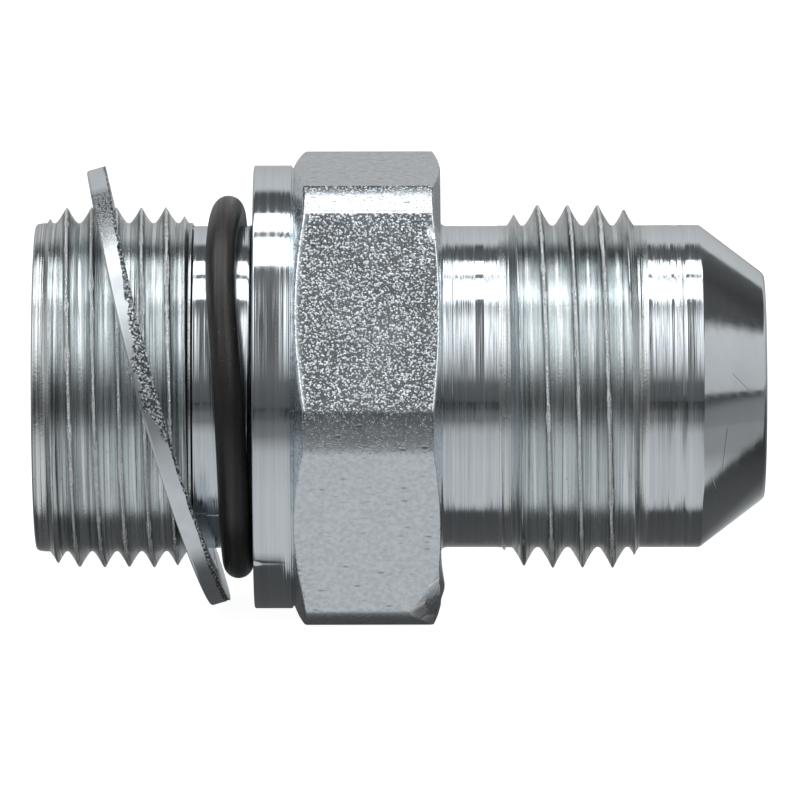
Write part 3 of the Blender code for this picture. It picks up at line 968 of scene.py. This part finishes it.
def torn_steel():
    """Rough torn band of the retaining ring."""
    finish, tree, shader = new_material("torn_steel", Metallic=1.0)
    grain = use_group(tree, GRAIN, Size=0.16).outputs["Height"]
    cloud = use_group(tree, MOTTLE, Cloud_Size=0.6, Fleck_Size=0.1).outputs["Cloud"]
    ridge = stretch(tree, grain, 0.19, 0.38, 0, 1)
    tint = mix_colour(tree, ridge, (0.12, 0.13, 0.14, 1), ZINC_BRIGHT)
    feed(tree, shader, Base_Color=tint, Roughness=stretch(tree, cloud, 0, 1, 0.25, 0.4))
    add_bump(tree, shader, grain, 0.12)
    return finish


# Studio

CAMERA_ELEVATION = 10.8
CAMERA_DISTANCE = 0.6
CAMERA_AIM = Vector((0, 0, 0.0126))
CAMERA_LENS = 446
CAMERA_ROLL = -0.11
# Panels overhead: name, where they begin and end behind the axis, and their light
PANELS = (("front_panel", -0.146, 0.040, 2.3), ("rear_panel", 0.086, 0.230, 2.4))
PANEL_HEIGHT = 0.6
PANEL_LENGTH = 0.8
# Card that the connector lies on: half its width in metres, and how it looks to the camera
FLOOR_REACH = 2.5
FLOOR_SEEN = (0.3, 0.3, 0.3, 1)
FLOOR_GLOW = (0.96, 0.96, 0.96, 1)
# Middle of the O-ring and the collar, from the fitting's middle
COLLAR_STATION = -9.2
# Painted glow that the card gives off to all but camera rays, with a painted shade under the
# connector, by distance behind the axis in millimetres
CARD_LIGHT = ((-160, 0.11), (-62, 0.20), (-38, 0.50), (-28, 0.53), (-20, 0.57), (-9.6, 0.57),
              (-8.4, 0.07), (0, 0.09), (4, 0.2), (7, 0.31), (13, 0.5), (40, 0.6))
# Light of the surroundings by height over the front, in degrees, above the low pale screen
SKY = ((0, 0.10), (8, 0.12), (20, 0.16), (27, 0.15), (35, 0.14), (43, 0.13), (51, 0.14),
       (70, 0.17), (112, 0.14), (126, 0.10), (180, 0.10))
SCREEN_LIGHT = 0.55
SCREEN_RIM = 0.72
# Side lamps, and their share of that light by height over the front, in degrees
SIDE_LAMP_LIGHT = (1.8, 1.8, 1.8, 1)
SIDE_LAMPS = ((0, 0), (13, 0), (22, 0.26), (30, 0.5), (40, 0.75), (50, 0.95), (60, 1.0),
              (68, 0.66), (76, 0.5), (90, 0.45))
BACKDROP = (0.95, 0.95, 0.95, 1)


def make_camera():
    """Long lens at the photograph's angle: a little above, square to the axis."""
    lens = bpy.data.cameras.new("photo_camera")
    lens.lens = CAMERA_LENS
    lens.sensor_width = 36
    lens.clip_start = 0.01
    camera = bpy.data.objects.new("photo_camera", lens)
    bpy.context.scene.collection.objects.link(camera)
    raised = math.radians(CAMERA_ELEVATION)
    away = Vector((0, -math.cos(raised), math.sin(raised)))
    rolled = Matrix.Rotation(math.radians(CAMERA_ROLL), 4, "Z")
    turn = away.to_track_quat("Z", "Y").to_matrix().to_4x4()
    camera.matrix_world = Matrix.Translation(CAMERA_AIM + CAMERA_DISTANCE * away) @ turn @ rolled
    bpy.context.scene.camera = camera


def make_panel(name, near, far, radiance):
    """Long soft panel overhead, parallel to the axis, facing down."""
    panel = bpy.data.lights.new(name, "AREA")
    panel.shape = "RECTANGLE"
    panel.size = PANEL_LENGTH
    panel.size_y = far - near
    panel.energy = radiance * math.pi * PANEL_LENGTH * panel.size_y
    holder = bpy.data.objects.new(name, panel)
    holder.location = (0, (near + far) / 2, PANEL_HEIGHT)
    bpy.context.scene.collection.objects.link(holder)


def make_floor():
    """Pale card that the connector lies on, evenly bright to the camera; to all other rays it glows
    with painted light, with a painted shade where the connector keeps the light off.
    """
    mesh = bpy.data.meshes.new("pale_floor")
    corners = [(x * FLOOR_REACH, y * FLOOR_REACH, 0)
               for x, y in ((-1, -1), (1, -1), (1, 1), (-1, 1))]
    mesh.from_pydata(corners, [], [(0, 1, 2, 3)])
    finish, tree, shader = new_material("pale_floor", Roughness=0.9, Specular_IOR_Level=0.0,
                                        Emission_Strength=1.0)
    seen = add_node(tree, "LightPath").outputs["Is Camera Ray"]
    x, y, _ = split(tree, millimetres(tree))
    # The painted shade comes further forward under the O-ring and the collar
    from_collar = math_node(tree, "ABSOLUTE", math_node(tree, "SUBTRACT", x, COLLAR_STATION))
    behind = math_node(tree, "ADD", y, stretch(tree, from_collar, 2.6, 3.2, 1.3, -1.2))
    painted_card_glow = add_ramp(tree, behind, CARD_LIGHT, -160, 40)
    # The painted glow fades towards black past the ends and past the nose
    past_ends = stretch(tree, math_node(tree, "ABSOLUTE", x), 36, 60, 0, 0.62)
    past_nose = stretch(tree, x, 24, 38, 0, 0.55)
    painted_card_glow = mix_colour(tree, math_node(tree, "MAXIMUM", past_ends, past_nose), painted_card_glow, BLACK)
    feed(tree, shader, Base_Color=mix_colour(tree, seen, BLACK, FLOOR_SEEN),
         Emission_Color=mix_colour(tree, seen, painted_card_glow, FLOOR_GLOW))
    mesh.materials.append(finish)
    floor = bpy.data.objects.new("pale_floor", mesh)
    bpy.context.scene.collection.objects.link(floor)


def make_sky():
    """Dark overhead, with a pale screen round the sides and the rear and a lamp on each side."""
    world = bpy.data.worlds.new("studio")
    world.use_nodes = True
    tree = world.node_tree
    tree.nodes.clear()
    sideways, rearward, upward = split(tree, add_node(tree, "TexCoord").outputs["Generated"])
    aside = math_node(tree, "ABSOLUTE", sideways)
    front = multiply(tree, rearward, -1)
    height = math_node(tree, "DEGREES", math_node(tree, "ARCTAN2", upward, front))
    overhead = add_ramp(tree, height, SKY, 0, 180)
    overhead = mix_colour(tree, stretch(tree, aside, 0.5, 0.7, 0, 0.5), overhead, BLACK)

    # The screen's rim comes down at the sides, and down further towards the rear
    side_drop = math_node(tree, "SUBTRACT", stretch(tree, rearward, 0, 1, 0.49, 0.29), SCREEN_RIM)
    at_side = stretch(tree, aside, 0.3, 0.55, 0, 1)
    rim = math_node(tree, "MULTIPLY_ADD", side_drop, at_side, SCREEN_RIM)
    low = stretch(tree, math_node(tree, "SUBTRACT", rim, upward), -0.03, 0.03, 0, 1)
    screen = multiply(tree, low, stretch(tree, rearward, -0.62, -0.38, 0, 1))
    screen_light = stretch(tree, upward, 0.1, 0.66, 0.86 * SCREEN_LIGHT, 1.12 * SCREEN_LIGHT)
    light = mix_colour(tree, screen, overhead, screen_light)

    lamp = multiply(tree, stretch(tree, aside, 0.12, 0.21, 0, 1),
                    stretch(tree, aside, 0.55, 0.7, 1, 0))
    lamp_top = stretch(tree, aside, 0.24, 0.32, 66, 84)
    over_top = math_node(tree, "SUBTRACT", height, lamp_top)
    lamp = multiply(tree, lamp, stretch(tree, over_top, -6, 6, 1, 0))
    lamp = multiply(tree, lamp, add_ramp(tree, height, SIDE_LAMPS, 0, 90))
    light = mix_colour(tree, lamp, light, SIDE_LAMP_LIGHT)

    seen = add_node(tree, "LightPath").outputs["Is Camera Ray"]
    background = add_node(tree, "Background", mix_colour(tree, seen, light, BACKDROP))
    output = tree.nodes.new("ShaderNodeOutputWorld")
    tree.links.new(background.outputs[0], output.inputs[0])
    bpy.context.scene.world = world


def make_studio():
    make_camera()
    for panel in PANELS:
        make_panel(*panel)
    make_floor()
    make_sky()
    bpy.context.scene.view_settings.view_transform = "Standard"


make_body([turned_zinc(), thread_zinc(), hexagon_zinc(), face_zinc(), bore_zinc(), cone_zinc(),
           dented_zinc()])
make_o_ring(black_rubber())
make_retaining_ring([burnished_steel(), torn_steel()])
make_studio()
